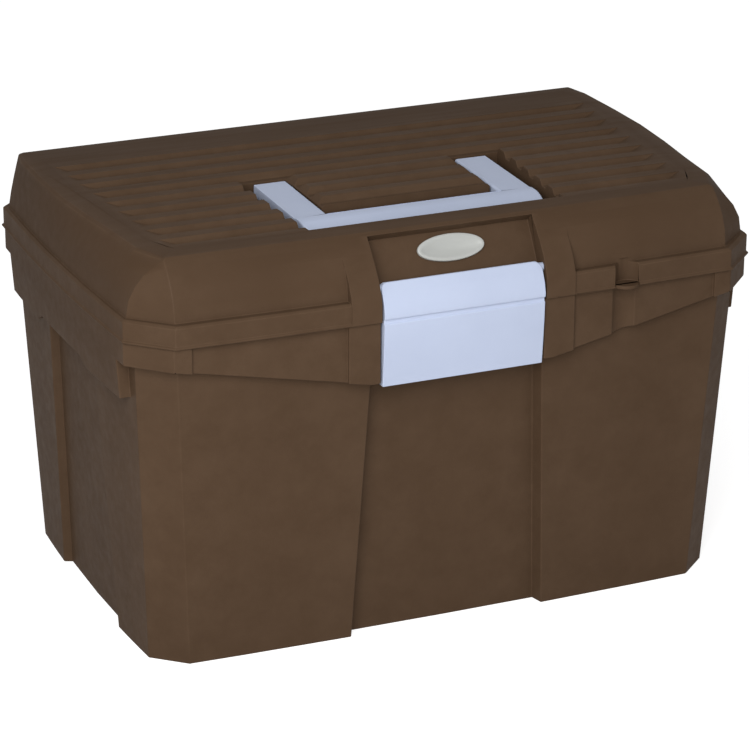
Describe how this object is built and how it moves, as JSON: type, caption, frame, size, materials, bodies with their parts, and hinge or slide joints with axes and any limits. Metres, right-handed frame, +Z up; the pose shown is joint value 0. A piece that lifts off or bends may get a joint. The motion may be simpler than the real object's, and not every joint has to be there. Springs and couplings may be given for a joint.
{
  "type": "tack box",
  "caption": "Tapered plastic grooming box with a ribbed hinged lid, fold-down carrying handle, front latch, plain oval badge and lift-out tray.",
  "frame": {"origin": "middle of the underside, at the centre of the bounding box seen from above", "axes": "+X along the length to the right seen from the front, -Y towards the front with the latch, +Z up"},
  "size_m": [0.3998, 0.2796, 0.248],
  "materials": {
    "brown_plastic": "satin moulded polypropylene",
    "tray_plastic": "satin moulded polypropylene",
    "blue_plastic": "satin moulded polypropylene",
    "silver_plastic": "silver-coloured moulded plastic",
    "steel": "drawn steel rod"
  },
  "bodies": {
    "bin": {"base_bin": "brown_plastic", "hinge_pin_left": "steel", "hinge_pin_right": "steel"},
    "lid": {"lid": "brown_plastic", "badge": "silver_plastic"},
    "handle": {"carry_handle": "blue_plastic"},
    "latch": {"latch": "blue_plastic"},
    "tray": {"lift_out_tray": "tray_plastic"}
  },
  "joints": [
    {"name": "lid_hinge", "type": "hinge", "parent": "bin", "child": "lid", "pos_m": [0, 0.136, 0.20105], "axis": [-1, 0, 0], "range_deg": [0, 105]},
    {"name": "handle_swing", "type": "hinge", "parent": "lid", "child": "handle", "pos_m": [0, -0.0065, 0.2402], "axis": [-1, 0, 0], "range_deg": [0, 90]},
    {"name": "latch_swing", "type": "hinge", "parent": "lid", "child": "latch", "pos_m": [0, -0.1285, 0.2187], "axis": [-1, 0, 0], "range_deg": [0, 100]},
    {"name": "tray_lift", "type": "slide", "parent": "bin", "child": "tray", "axis": [0, 0, 1], "range_m": [0, 0.006]}
  ]
}
